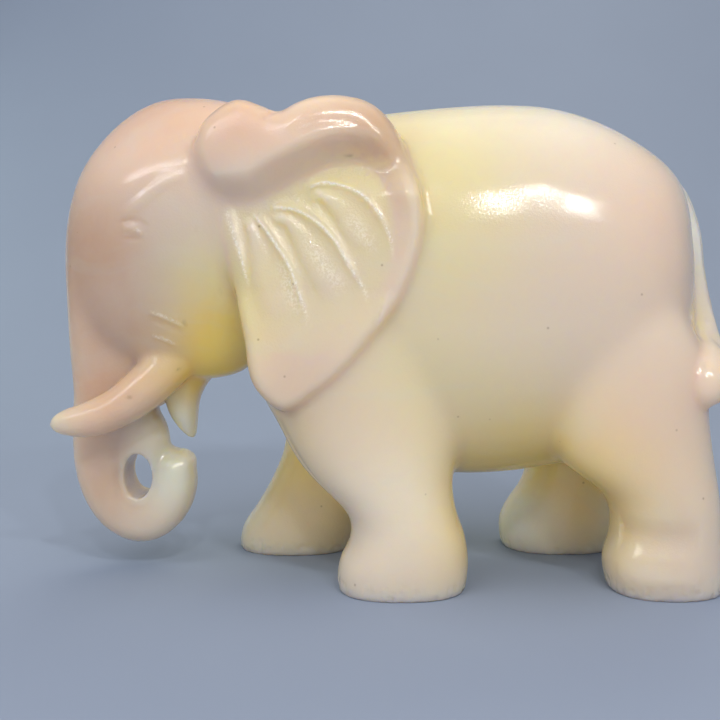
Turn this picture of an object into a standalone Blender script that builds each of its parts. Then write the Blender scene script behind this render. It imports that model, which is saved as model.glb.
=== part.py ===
"""Jade elephant.

A walking elephant carved from one block of pale jade, with its trunk curled back to the mouth,
short blunt tusks, fanned ears with a rolled upper rim, and a tail swept round the left haunch.
It faces -X with its left side towards -Y, and stands on four flat soles at z = 0. The stone is
one piece, so the model is one solid. Lengths are in metres.
"""
import math

import bmesh
import bpy
import numpy as np

# Driving sizes, in metres
HEIGHT = 0.1456         # crown of the head above the soles
TRUNK_BREADTH = 0.0200  # the trunk's curl, side to side
EYE_LENGTH = 0.0142     # the hole in the trunk's curl, up and down
EYE_BREADTH = 0.0088    # the same hole, front to back
RIM_ROUND = 0.0042      # rounding of the ear's edge
ROLL_RISE = 0.0038      # how far the ear's rolled rim stands out
HOLLOW_SINK = 0.0018    # how far the fan lies below the ear's face
RIB_RISE = 0.0020       # height of the fan's ribs above its floor
RIB_BREADTH = 0.0130    # from a rib's crest down its gentle side to the floor

# Mesh fineness
FUSE_CUBE = 0.0012      # cubes that the forms are fused on
BODY_PASSES = 26        # smoothing of the masses, before the crisp parts join them
DETAIL_PASSES = 4       # smoothing of the whole
FACETS = 9400           # triangles kept
SIDES = 40              # points round each section
BODY_POWER = 2.35       # squareness of the sections: 2 is an oval, more is boxier
SKULL_POWER = 2.5
TRUNK_POWER = 2.8
LEG_POWER = 2.4
CRISP_POWER = 2.3

JADE = {"colour": (0.72, 0.60, 0.47, 1.0), "roughness": 0.28, "metallic": 0.0}

# Pose and proportions are shares of the height: every number below counts hundredths of it
SHARE = HEIGHT / 100
SOLE_DEPTH = 2.4        # length of leg below the soles, which the ground plane cuts away

# Trunk of the body: x, underside, back, half breadth
BARREL = [(-34, 50, 88, 15), (-22, 42, 93, 19), (-10, 31, 94.8, 22.5), (0, 23.5, 96.0, 26),
          (12, 20.7, 97.0, 29), (25, 20.8, 97.4, 30), (35, 22.3, 96.5, 29.8),
          (45, 24.3, 93.2, 28.8), (53, 28, 88.7, 26.5), (59, 34, 83.8, 22.5),
          (63, 42, 78, 16.5), (65.2, 51, 70, 8.5), (65.8, 60, 61, 0.6)]

# Head above the trunk, sliced level: z, front, back, half breadth
SKULL = [(100.2, -44.5, -40.5, 0.6), (99.2, -48.2, -33, 7), (97, -52.6, -26, 12.3),
         (93, -57.6, -21, 16.8), (88.5, -61.5, -19, 19.8), (85.5, -63.5, -18, 21.4),
         (82.5, -64.9, -18, 22.2), (79, -66.1, -18, 22.5), (75, -67.1, -18, 22.5),
         (67, -67.9, -19, 21.9), (59, -67.7, -21, 19.8), (52, -65.6, -24, 17),
         (46, -59, -27, 13.8), (42.5, -51, -30, 10), (41, -46, -35, 5)]
SKULL_TAPER = 0.45             # how much narrower its front is than a plain oval

# Forehead, trunk and its curl: x, z, half depth, half breadth as a share of the curl's
TRUNK = [(-50, 88, 7.5, 1.10), (-53.8, 81, 9.6, 1.35), (-56.2, 73, 10.2, 1.50),
         (-57.4, 64, 10.0, 1.50), (-57.6, 56, 9.9, 1.42), (-57.4, 48, 10.0, 1.32),
         (-58.0, 40, 9.2, 1.20), (-60.2, 32, 7.2, 1.10), (-61.5, 25, 6.0, 1.04),
         (-60.7, 18.2, 5.5, 1.00), (-57.3, 12.5, 5.3, 1.00), (-52.6, 10.3, 5.2, 1.00),
         (-48.2, 13.0, 5.1, 1.00), (-46.0, 17.5, 4.9, 0.97), (-46.0, 21.0, 4.7, 0.92),
         (-47.6, 23.6, 3.5, 0.74), (-48.9, 25.2, 1.8, 0.40)]

# Stone left inside the curl and up to the mouth, sliced level: z, front, back, half breadth
MOUTH_WEB = [(12, -56, -50, 5.4), (15, -58, -48, 6.3), (20, -58.5, -47.3, 6.6),
             (25, -60, -47, 6.7), (28, -61, -46.9, 6.6), (31, -61, -47.6, 6.7),
             (34.5, -61, -49.2, 7.0), (37, -60.5, -48.6, 7.4), (41, -60, -46, 8.6)]
CURL_EYE = (-52.8, 20.5)       # x and z of the hole drilled through the curl
FINGER = [(17, -47.5, -42.6, 5.2), (20.6, -46.6, -41.4, 5.4), (23.2, -45.8, -41.3, 5),
          (24.8, -45.0, -42.6, 3), (25.6, -44.3, -43.2, 0.8)]
LOWER_LIP = [(45, -50, -34, 9.5), (40, -48.8, -38.1, 7.6), (36.5, -47.5, -40.0, 6),
             (33, -46.3, -40.6, 5), (30.5, -44.7, -40.8, 4), (28.6, -43, -41, 2.6),
             (27.8, -42, -41.3, 0.8)]

# One tusk: x, distance from the middle plane, z, half depth, half breadth
TUSK = [(-43, 9, 46.5, 5.0, 4.6), (-49.2, 11, 40.2, 4.7, 4.8), (-54.6, 12.2, 36.2, 4.2, 4.4),
        (-60.4, 13.7, 33.9, 3.7, 3.6), (-65, 13.9, 33.3, 2.8, 2.7), (-67.6, 13.8, 33.0, 1.7, 1.6),
        (-68.6, 13.7, 32.9, 0.5, 0.5)]

# Legs, sliced level: z, front, back, outer and inner distance from the middle plane
LEGS = {
    "left_fore": (-1, [
        (68, -12, 11, 20, 8), (60, -20, 15, 24.6, 6), (52, -24, 17, 26.8, 4),
        (44, -25.4, 17, 27.8, 3.5),
        (38.5, -24.2, 16.3, 28.4, 3.5), (34, -21.6, 15.6, 28.7, 3.8),
        (29.5, -19.4, 14.9, 28.8, 4.3), (24.8, -16.5, 13.9, 28.6, 5), (21, -13, 13.5, 28.4, 5.5),
        (17.5, -9.3, 13.9, 28.3, 6), (14.6, -7.1, 14.5, 28.3, 6.2), (12, -6.8, 15.6, 28.5, 6.2),
        (9, -7.5, 16.3, 28.8, 6), (6.5, -9.2, 16.6, 29.1, 5.6), (3.7, -9.9, 16.6, 29.2, 5.5),
        (1.4, -9.9, 16.3, 29.2, 5.5), (-SOLE_DEPTH, -9.2, 15.6, 28.9, 6)]),
    "left_hind": (-1, [
        (72, 40, 50, 19, 10), (64, 37, 56, 23.5, 6), (56, 34, 60.6, 26.8, 4),
        (50, 32.3, 62.8, 28.4, 3.8), (44, 31.5, 63.8, 29.2, 3.6),
        (38, 31.5, 63.6, 29.6, 3.7), (30, 32.5, 64.3, 29.4, 4), (26, 34.5, 64.9, 29.1, 4.5),
        (22.5, 38.8, 65.4, 28.8, 5), (19.5, 42.8, 65.9, 28.5, 5.5), (16.5, 44.8, 66.2, 28.4, 6),
        (12, 45.1, 66.5, 28.4, 6), (8.8, 44.6, 66.7, 28.7, 6), (6.5, 43.4, 66.9, 29.1, 5.6),
        (4, 43.5, 67.0, 29.2, 5.5), (1.4, 44.0, 67.0, 29.2, 5.5),
        (-SOLE_DEPTH, 45.2, 66.4, 28.9, 6)]),
    "right_fore": (1, [
        (68, -12, 11, 20, 8), (58, -19, 14, 25, 4), (48, -22, 12, 27, 3.5),
        (38, -22.5, 8, 28.4, 3.5),
        (30, -22.8, 4.5, 28.7, 4.2), (23.5, -23.4, 1.5, 28.4, 5), (16, -26.5, -1.5, 28.3, 5.8),
        (9, -30.6, -4.6, 28.7, 6), (5, -33.5, -6.4, 29.1, 5.6), (2.6, -34.2, -7.2, 29.2, 5.5),
        (0.8, -34.3, -7.6, 29.2, 5.5), (-SOLE_DEPTH, -34, -8.4, 28.9, 6)]),
    "right_hind": (1, [
        (72, 40, 50, 19, 10), (63, 37, 55, 24, 6), (54, 34, 58.6, 27.2, 4.4),
        (45, 32, 60, 28.8, 3.5), (34, 31.6, 59, 29.2, 4),
        (25, 32.2, 56.8, 28.8, 4.8), (18.5, 32.3, 55.4, 28.4, 5.5), (14, 30.9, 54.6, 28.4, 6),
        (10.5, 28.4, 54, 28.7, 6), (7, 26.3, 53.6, 29.1, 5.6), (4.5, 25.8, 53.4, 29.2, 5.5),
        (1.8, 26.1, 53.2, 29.2, 5.5), (-SOLE_DEPTH, 27.2, 52.4, 28.9, 6)]),
}

# Tail and its tuft: x, y, z, half depth, half breadth
TAIL = [(55, 0, 84, 2, 2.4), (60.4, -0.5, 79.2, 2.6, 3.0), (63.2, -1.6, 72, 2.7, 3.2),
        (64.4, -4.5, 61.5, 2.2, 3.2), (64.8, -9.5, 52.6, 2.4, 3.2), (64.2, -15.5, 47.4, 3, 3.4),
        (63.4, -20, 44.6, 4.0, 4.2), (62.0, -22.8, 41.8, 4.6, 4.6), (61.2, -23.8, 39, 3.9, 3.9),
        (60.8, -24, 36.6, 1, 1)]

# Ear: how far its face lies from the middle plane at the front, how much further per unit
# backwards, and per unit below the drooping lower half's top
EAR_OUT = 23
EAR_FLARE = 0.16
EAR_DROOP = 0.16
EAR_DROOP_TOP = 60
EAR_FRONT = -33
EAR_BACK = ((1, 20), (0.9, 12), (0.4, 11))     # its hidden back: share of the edge, y

# Rolled rim: its rounding grows to this many times over these heights, it swells over those
# and halves over that length, it rises over this distance above its lower edge, and its face
# bows back above its crown
ROUND_GROWTH = 1.6
ROUND_SPAN = (76, 92)
SWELL_SPAN = (54, 80)
SWELL_LEAST = 0.15
THIN_SPAN = (-6, 6)
ROLL_REACH = (-0.8, 6.2)
ROLL_CROWN = 82
ROLL_BOW = 0.0105
# Towards the back the flare of its upper part levels out: from this x, this fast, over these
# heights
LEVEL_FROM = -17
LEVEL_RATE = 0.0105
LEVEL_SPAN = (77, 86)

# Fan: its hollow is full to the first distance from its root and gone at the second, and from
# a pivot its floor leans back, by this much backwards and upwards
FAN_ROOT = (-26, 79)
FAN_REACH = (16, 38)
FAN_PIVOT = (-16, 61)
FAN_LEAN = (0.03, 0.08)
RIB_ENDS = (0.1, 0.35)         # shares of a rib's length over which it rises and fades
RIB_ROOT = 0.35                # its breadth at the root, as a share of its full breadth
# Across a rib, from its steep side: share of its breadth, share of its height
RIB_PROFILE = [(-0.20, 0), (-0.13, 0.2), (-0.06, 0.8), (0, 1), (0.08, 0.94), (0.2, 0.82),
               (0.33, 0.88), (0.47, 1), (0.6, 0.92), (0.78, 0.5), (1, 0)]

# Ear in side view, x and z: its edge, its middle, the fold's lower edge and the fan's crests
EAR_EDGE = [(-31.8, 95.1), (-27.8, 96.8), (-22.8, 95.3), (-19.8, 94.1), (-16.3, 95.8), (-9, 97.1),
            (-2, 95.5), (3.7, 89.3), (6.7, 81), (7.7, 71), (5.4, 61.8), (-1.6, 51.2),
            (-12.6, 40.2), (-19.5, 36.8), (-24.8, 41), (-27.3, 51), (-29.5, 61), (-31.6, 71),
            (-33.6, 79), (-36.6, 85.5), (-35.6, 91.2)]
EAR_MIDDLE = (-13, 70)
FOLD_EDGE = [(-36, 77), (-31.3, 76.8), (-27.6, 76.8), (-23.8, 77.4), (-20.2, 79.2),
             (-16.5, 81.1), (-12.5, 82.9), (-8.5, 84.1), (-4, 84.1), (-0.4, 82), (2, 77),
             (3.1, 70.8), (2.7, 65.6), (1.0, 60)]
RIBS = [[(-30.5, 76.5), (-29.1, 71.8), (-27.5, 66.9), (-25.6, 60)],
        [(-25.4, 74.6), (-23.2, 71.2), (-21, 66.8), (-19, 61.5), (-17.6, 57.7), (-15.8, 53)],
        [(-22, 75.2), (-17.3, 74.8), (-13.8, 72.9), (-10, 69.5), (-6.7, 64.2), (-4.3, 60.4),
         (-2.3, 55.9)],
        [(-14.8, 78.7), (-12, 79.6), (-7.5, 78.9), (-4.1, 77.3), (-1.2, 74.1), (0.9, 70.3),
         (2, 65)]]
EYE = (-50.1, 18.7, 73.2)      # x, distance from the middle plane, z
EYE_LID = (2.9, 1.4, 1.3)      # half sizes of its lid


def smooth(rows, count, closed=False):
    """The rows, resampled evenly along a smooth curve that passes through every one of them."""
    rows = np.array(rows, float)
    if closed:
        rows = np.vstack((rows[-3:], rows, rows[:4]))
    at = np.concatenate(([0.0], np.cumsum(np.linalg.norm(np.diff(rows, axis=0), axis=1))))
    slope = np.gradient(rows, at, axis=0)
    start, end = (at[3], at[-4]) if closed else (at[0], at[-1])
    where = np.linspace(start, end, count, endpoint=not closed)
    cell = np.clip(np.searchsorted(at, where, side="right") - 1, 0, len(at) - 2)
    span = (at[cell + 1] - at[cell])[:, None]
    u = (where - at[cell])[:, None] / span
    return (rows[cell] * (1 + 2 * u) * (1 - u) ** 2 + rows[cell + 1] * u * u * (3 - 2 * u)
            + slope[cell] * span * u * (1 - u) ** 2 - slope[cell + 1] * span * u * u * (1 - u))


def section(power):
    """Two arrays, the sides of a unit section: round at power 2, squarer above it."""
    angle = np.arange(SIDES) * 2 * math.pi / SIDES
    across, up = np.cos(angle), np.sin(angle)
    return (np.sign(across) * np.abs(across) ** (2 / power),
            np.sign(up) * np.abs(up) ** (2 / power))


def level_rings(rows, power, taper=0.0, count=44):
    """Rings of a form sliced level, from z, front, back, near and far."""
    across, side = section(power)
    side = side * (1 - taper * ((1 - across) / 2) ** 3)
    rings = []
    for z, front, back, near, far in smooth(rows, count):
        rings.append(np.column_stack((
            (front + back) / 2 + (back - front) / 2 * across,
            (near + far) / 2 + (far - near) / 2 * side,
            np.full(SIDES, z))))
    return rings


def upright_rings(rows, power, count=60):
    """Rings of a form sliced across X, from x, underside, top and half breadth."""
    side, up = section(power)
    return [np.column_stack((np.full(SIDES, x), half * side, (low + high) / 2
                             + (high - low) / 2 * up))
            for x, low, high, half in smooth(rows, count)]


def limb_rings(rows, power=2.0, count=60):
    """Rings of a bent round form, from x, y, z, half depth in its own plane, half breadth."""
    path = smooth(rows, count)
    heading = np.gradient(path[:, :3], axis=0)
    depth, side = section(power)
    rings = []
    for (x, y, z, half_depth, half_side), ahead in zip(path, heading):
        ahead = ahead / np.linalg.norm(ahead)
        beside = np.array((0.0, 1.0, 0.0)) - ahead[1] * ahead
        beside /= np.linalg.norm(beside)
        out = np.cross(ahead, beside)
        rings.append(np.array((x, y, z)) + np.outer(depth * half_depth, out)
                     + np.outer(side * half_side, beside))
    return rings


def from_line(points, line):
    """Distance of each point to a line, how far along it (0 to 1), and which side it is on."""
    start, step = line[:-1], np.diff(line, axis=0)
    reach = points[:, None, :] - start[None]
    length = np.einsum("ij,ij->i", step, step)
    along = np.clip(np.einsum("nij,ij->ni", reach, step) / length, 0, 1)
    gap = reach - along[..., None] * step[None]
    distance = np.linalg.norm(gap, axis=2)
    best = distance.argmin(axis=1)
    row = np.arange(len(points))
    turn = step[best, 0] * gap[row, best, 1] - step[best, 1] * gap[row, best, 0]
    return distance[row, best], (best + along[row, best]) / len(step), np.sign(turn)


def ramp(value, start, end):
    """0 up to start, 1 from end on, and straight in between; start may be the larger."""
    return np.clip((value - start) / (end - start), 0, 1)


def eased(value, start, end):
    """As ramp, with soft ends."""
    share = ramp(value, start, end)
    return share * share * (3 - 2 * share)


def rib_height(points, crest):
    """Height over each point of one of the fan's ribs: a crest with a steep side, then a pad."""
    gap, along, side = from_line(points, smooth(crest, 40))
    rise, fade = RIB_ENDS
    ends = eased(along, 0, rise) * eased(along, 1, 1 - fade)
    breadth = RIB_BREADTH / SHARE * (RIB_ROOT + (1 - RIB_ROOT) * eased(along, 0, 0.5))
    profile = smooth(RIB_PROFILE, 60)
    return ends * np.interp(-side * gap / breadth, profile[:, 0], profile[:, 1])


def ear_surface(points):
    """How far out of the middle plane the ear's face lies over each point of its side view."""
    x, z = points[:, 0], points[:, 1]
    face = (EAR_OUT + EAR_FLARE * (x - EAR_FRONT)
            + EAR_DROOP * np.clip(EAR_DROOP_TOP - z, 0, None)
            - LEVEL_RATE * np.clip(x - LEVEL_FROM, 0, None) ** 2 * eased(z, *LEVEL_SPAN))

    edge = smooth(EAR_EDGE, 240, closed=True)
    inside, _, _ = from_line(points, np.vstack((edge, edge[:1])))
    bend = RIM_ROUND / SHARE * (1 + (ROUND_GROWTH - 1) * ramp(z, *ROUND_SPAN))
    face -= bend * (1 - np.sqrt(1 - ramp(inside, bend, 0) ** 2))

    gap, _, side = from_line(points, smooth(FOLD_EDGE, 80))
    over = side * gap
    up = eased(over, *ROLL_REACH)
    swell = np.maximum(ramp(z, *SWELL_SPAN), SWELL_LEAST) * (1 - ramp(x, *THIN_SPAN) / 2)
    face += ROLL_RISE / SHARE * swell * up
    face -= ROLL_BOW * np.clip(z - ROLL_CROWN, 0, None) ** 2

    spread = eased(np.hypot(x - FAN_ROOT[0], z - FAN_ROOT[1]), FAN_REACH[1], FAN_REACH[0])
    ribs = np.max([rib_height(points, crest) for crest in RIBS], axis=0)
    lean = (FAN_LEAN[0] * np.clip(x - FAN_PIVOT[0], 0, None)
            + FAN_LEAN[1] * np.clip(z - FAN_PIVOT[1], 0, None))
    return face + spread * (RIB_RISE / SHARE * ribs * eased(over, 1.5, -0.5)
                            - (HOLLOW_SINK / SHARE + lean) * (1 - up))


def ear_rings(side):
    """Rings of one ear: its carved face from the middle out to the edge, then its buried back."""
    edge = smooth(EAR_EDGE, 150, closed=True)
    middle = np.array(EAR_MIDDLE, float)
    rings = []
    for share in np.linspace(0.02, 1, 34):
        points = middle + share * (edge - middle)
        rings.append(np.column_stack((points[:, 0], side * ear_surface(points), points[:, 1])))
    for share, depth in EAR_BACK:
        points = middle + share * (edge - middle)
        rings.append(np.column_stack((points[:, 0], np.full(len(points), side * depth),
                                      points[:, 1])))
    return rings


def ball_rings(middle, half_sizes):
    """Rings of an oval ball, sliced level."""
    turn = np.arange(SIDES) * 2 * math.pi / SIDES
    tilts = np.linspace(-0.48, 0.48, 9) * math.pi
    return [np.array(middle) + np.array(half_sizes) * np.column_stack((
                math.cos(tilt) * np.cos(turn), math.cos(tilt) * np.sin(turn),
                np.full(SIDES, math.sin(tilt))))
            for tilt in tilts]


def add_form(mesh, rings):
    """Adds one closed skin through the rings to a bmesh, in metres."""
    rows = [[mesh.verts.new(point) for point in ring * SHARE] for ring in rings]
    faces = []
    for low, high in zip(rows[:-1], rows[1:]):
        for i in range(len(low)):
            j = (i + 1) % len(low)
            faces.append(mesh.faces.new((low[i], low[j], high[j], high[i])))
    for row in (rows[0], rows[-1]):
        faces.append(mesh.faces.new(row))
    bmesh.ops.recalc_face_normals(mesh, faces=faces)


def mirrored(rows, side):
    """Rows whose second number is a distance from the middle plane, moved to one side."""
    return [(row[0], side * row[1], *row[2:]) for row in rows]


def body_forms():
    """Rings of the large masses, which flow into one another."""
    yield upright_rings(BARREL, BODY_POWER)
    yield level_rings([(z, front, back, -half, half) for z, front, back, half in SKULL],
                      SKULL_POWER, SKULL_TAPER)
    breadth = TRUNK_BREADTH / 2 / SHARE
    yield limb_rings([(x, 0, z, depth, breadth * share) for x, z, depth, share in TRUNK],
                     TRUNK_POWER)
    for side, rows in LEGS.values():
        yield level_rings([(z, front, back, side * outer, side * inner)
                           for z, front, back, outer, inner in rows], LEG_POWER)


def detail_forms():
    """Rings of the thin and crisp parts."""
    for rows in (MOUTH_WEB, FINGER, LOWER_LIP):
        yield level_rings([(z, front, back, -half, half) for z, front, back, half in rows],
                          CRISP_POWER)
    for side in (-1, 1):
        yield limb_rings(mirrored(TUSK, side))
        yield ear_rings(side)
        yield ball_rings((EYE[0], side * EYE[1], EYE[2]), EYE_LID)
    yield limb_rings(TAIL)


def fused(name, mesh, cube, passes):
    """A new mesh: the skins of mesh fused to one on cubes of the given size, and smoothed."""
    thing = bpy.data.objects.new(name, mesh)
    bpy.context.scene.collection.objects.link(thing)
    fuse = thing.modifiers.new("fuse", "REMESH")
    fuse.mode = "VOXEL"
    fuse.voxel_size = cube
    soften = thing.modifiers.new("soften", "SMOOTH")
    soften.factor = 0.5
    soften.iterations = passes
    view = bpy.context.evaluated_depsgraph_get()
    result = bpy.data.meshes.new_from_object(thing.evaluated_get(view))
    bpy.data.objects.remove(thing)
    return result


def carve_figure():
    """The figure's mesh at full fineness: masses fused and softened, then the crisp parts."""
    masses = bmesh.new()
    for rings in body_forms():
        add_form(masses, rings)
    mesh = bpy.data.meshes.new("masses")
    masses.to_mesh(mesh)
    masses.free()
    body = fused("masses", mesh, FUSE_CUBE, BODY_PASSES)

    whole = bmesh.new()
    whole.from_mesh(body)
    for rings in detail_forms():
        add_form(whole, rings)
    mesh = bpy.data.meshes.new("whole")
    whole.to_mesh(mesh)
    whole.free()
    return fused("whole", mesh, FUSE_CUBE, DETAIL_PASSES)


def jade():
    """Polished pale jade."""
    material = bpy.data.materials.new("pale_jade")
    material.use_nodes = True
    shader = material.node_tree.nodes["Principled BSDF"]
    shader.inputs["Base Color"].default_value = JADE["colour"]
    shader.inputs["Roughness"].default_value = JADE["roughness"]
    shader.inputs["Metallic"].default_value = JADE["metallic"]
    return material


def cut(figure, cutter, name):
    """Takes a cutter, which stays hidden, away from the figure."""
    cutter.name = name
    cutter.hide_render = True
    cutter.display_type = "WIRE"
    bpy.ops.object.transform_apply(location=True, rotation=True, scale=True)
    taken = figure.modifiers.new(name, "BOOLEAN")
    taken.operation = "DIFFERENCE"
    taken.solver = "EXACT"
    taken.object = cutter


def drill_eye(figure):
    """Drills the oval hole sideways through the trunk's curl."""
    x, z = CURL_EYE
    bpy.ops.mesh.primitive_cylinder_add(vertices=20, radius=0.5, depth=2 * TRUNK_BREADTH,
                                        location=(x * SHARE, 0, z * SHARE),
                                        rotation=(math.pi / 2, 0, 0))
    drill = bpy.context.object
    drill.scale = (EYE_BREADTH, EYE_LENGTH, 1)
    cut(figure, drill, "eye_drill")


def cut_soles(figure):
    """Cuts the legs level at the ground, which leaves the four soles flat."""
    bpy.ops.mesh.primitive_cube_add(size=1, location=(0, 0, -HEIGHT / 2))
    block = bpy.context.object
    block.scale = (3 * HEIGHT, 2 * HEIGHT, HEIGHT)
    cut(figure, block, "ground_cutter")


def main():
    for thing in list(bpy.data.objects):
        bpy.data.objects.remove(thing)
    mesh = carve_figure()
    figure = bpy.data.objects.new("elephant", mesh)
    bpy.context.scene.collection.objects.link(figure)
    mesh.materials.clear()
    mesh.materials.append(jade())
    mesh.shade_smooth()

    facets = figure.modifiers.new("facets", "DECIMATE")
    facets.ratio = FACETS / sum(len(face.vertices) - 2 for face in mesh.polygons)
    drill_eye(figure)
    cut_soles(figure)


main()
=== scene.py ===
"""Jade elephant: the figure carved and polished from one block of pale jade, on a studio floor.

The figure is carved again at a fineness that holds its relief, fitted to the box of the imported
part, and finished as polished jade. It stands on its own four feet. Positions in the tables
are hundredths of the figure's height, and everything else is in metres.
"""
import math

import bmesh
import bpy
import numpy as np
from mathutils import Matrix, Vector, noise
from mathutils.bvhtree import BVHTree


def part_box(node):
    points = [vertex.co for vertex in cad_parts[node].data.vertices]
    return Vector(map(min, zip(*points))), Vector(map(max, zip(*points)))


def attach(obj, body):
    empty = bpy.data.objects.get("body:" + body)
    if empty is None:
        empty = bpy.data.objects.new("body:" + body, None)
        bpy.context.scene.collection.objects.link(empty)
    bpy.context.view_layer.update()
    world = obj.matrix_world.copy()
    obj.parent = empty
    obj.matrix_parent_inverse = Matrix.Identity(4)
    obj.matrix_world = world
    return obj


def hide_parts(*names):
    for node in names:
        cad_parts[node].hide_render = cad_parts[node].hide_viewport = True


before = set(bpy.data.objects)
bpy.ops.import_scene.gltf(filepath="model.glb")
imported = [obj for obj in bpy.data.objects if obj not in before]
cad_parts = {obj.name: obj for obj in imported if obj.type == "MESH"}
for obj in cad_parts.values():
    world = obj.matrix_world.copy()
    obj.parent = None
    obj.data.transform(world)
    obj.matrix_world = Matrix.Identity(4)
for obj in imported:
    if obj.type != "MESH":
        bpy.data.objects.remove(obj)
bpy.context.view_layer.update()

bl_info = {
    "name": "Jade Elephant",
    "version": (1, 0, 0),
    "blender": (4, 5, 0),
    "location": "View3D > Sidebar > Elephant",
    "description": "Carves a polished jade elephant and sets a plain studio round it",
    "category": "Object",
}

NODE = "elephant"
PIECE = "carved_jade_elephant"

# Mesh fineness
MASS_CUBE = 0.0012  # cubes that the masses are fused on
MASS_PASSES = 26  # smoothing of the masses, before the crisp parts join them
CUT_CUBE = 0.0009  # cubes that the figure is drilled and cut on
CUT_PASSES = 2
CRISP_CUBE = 0.0006  # cubes that the carving is held on
CRISP_PASSES = 8
TRIANGLES = 196000  # kept in the finished figure
BOX_INSET = 0.00002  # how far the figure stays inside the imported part's box
SIDES = 40  # points round each section
LINE_STEPS = 40  # points along a short line of the side view
EDGE_STEPS = 240  # points round the ear's edge, for distances to it
FOLD_STEPS = 80  # points along the fold's lower edge
PROFILE_STEPS = 120  # points across a rib
EAR_SIDES = 150  # points round each ring of the ear's skin
EAR_RINGS = (0.02, 1, 34)  # its face's first and last ring, as shares of the edge, and how many
BATCH = 8000  # points measured from a line at a time
BODY_POWER = 2.35  # squareness of the sections: 2 is an oval, more is boxier
SKULL_POWER = 2.5
TRUNK_POWER = 2.8
LEG_POWER = 2.4
CRISP_POWER = 2.3
SOLE_DEPTH = 2.4  # length of leg below the soles, which the ground plane cuts away

# Trunk of the body: x, underside, back, half breadth
BARREL = [
    (-34, 50, 88, 15), (-22, 42, 93, 19), (-10, 31, 94.8, 22.5), (0, 23.5, 96, 26),
    (12, 20.7, 97, 29), (25, 20.8, 97.4, 30), (35, 22.3, 96.5, 29.8), (45, 24.3, 93.2, 28.8),
    (53, 28, 88.7, 26.5), (59, 34, 83.8, 22.5), (63, 42, 78, 16.5), (65.2, 51, 70, 8.5),
    (65.8, 60, 61, 0.6)]

# Head above the trunk, sliced level: z, front, back, half breadth
SKULL = [
    (100.2, -44.5, -40.5, 0.6), (99.2, -48.2, -33, 7), (97, -52.6, -26, 12.3),
    (93, -57.6, -21, 16.8), (88.5, -61.5, -19, 19.8), (85.5, -63.5, -18, 21.4),
    (82.5, -64.9, -18, 22.2), (79, -66.1, -18, 22.5), (75, -67.1, -18, 22.5),
    (67, -67.9, -19, 21.9), (59, -67.7, -21, 19.8), (52, -65.6, -24, 17), (46, -59, -27, 13.8),
    (42.5, -51, -30, 10), (41, -46, -35, 5)]
SKULL_TAPER = 0.45  # how much narrower its front is than a plain oval

# Forehead, trunk and its curl: x, z, half depth, half breadth as a share of the curl's
TRUNK = [
    (-50, 88, 7.5, 1.10), (-53.8, 81, 9.6, 1.35), (-56.2, 73, 10.2, 1.50), (-57.4, 64, 10, 1.50),
    (-57.6, 56, 9.9, 1.42), (-57.4, 48, 10, 1.32), (-58, 40, 9.2, 1.20), (-60.2, 32, 7.2, 1.10),
    (-61.5, 25, 6, 1.04), (-60.7, 18.2, 5.5, 1.00), (-57.3, 12.5, 5.3, 1.00),
    (-52.6, 10.3, 5.2, 1.00), (-48.2, 13, 5.1, 1.00), (-46, 17.5, 4.9, 0.97), (-46, 21, 4.7, 0.92),
    (-47.6, 23.6, 3.5, 0.74), (-48.9, 25.2, 1.8, 0.40)]

# Stone left inside the curl and up to the mouth, sliced level: z, front, back, half breadth
MOUTH_WEB = [
    (12, -56, -50, 5.4), (15, -58, -48, 6.3), (20, -58.5, -47.3, 6.6), (25, -60, -47, 6.7),
    (28, -61, -46.9, 6.6), (31, -61, -47.6, 6.7), (34.5, -61, -49.2, 7), (37, -60.5, -48.6, 7.4),
    (41, -60, -46, 8.6)]
CURL_EYE = (-52.8, 20.5)  # x and z of the hole drilled through the curl
FINGER = [
    (17, -47.5, -42.6, 5.2), (20.6, -46.6, -41.4, 5.4), (23.2, -45.8, -41.3, 5),
    (24.8, -45, -42.6, 3), (25.6, -44.3, -43.2, 0.8)]
LOWER_LIP = [
    (45, -50, -34, 9.5), (40, -48.8, -38.1, 7.6), (36.5, -47.5, -40, 6), (33, -46.3, -40.6, 5),
    (30.5, -44.7, -40.8, 4), (28.6, -43, -41, 2.6), (27.8, -42, -41.3, 0.8)]

# One tusk: x, distance from the middle plane, z, half depth, half breadth
TUSK = [
    (-43, 9, 46.5, 5, 4.6), (-49.2, 11, 40.2, 4.7, 4.8), (-54.6, 12.2, 36.2, 4.2, 4.4),
    (-60.4, 13.7, 33.9, 3.7, 3.6), (-65, 13.9, 33.3, 2.8, 2.7), (-67.6, 13.8, 33, 1.7, 1.6),
    (-68.6, 13.7, 32.9, 0.5, 0.5)]

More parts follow.
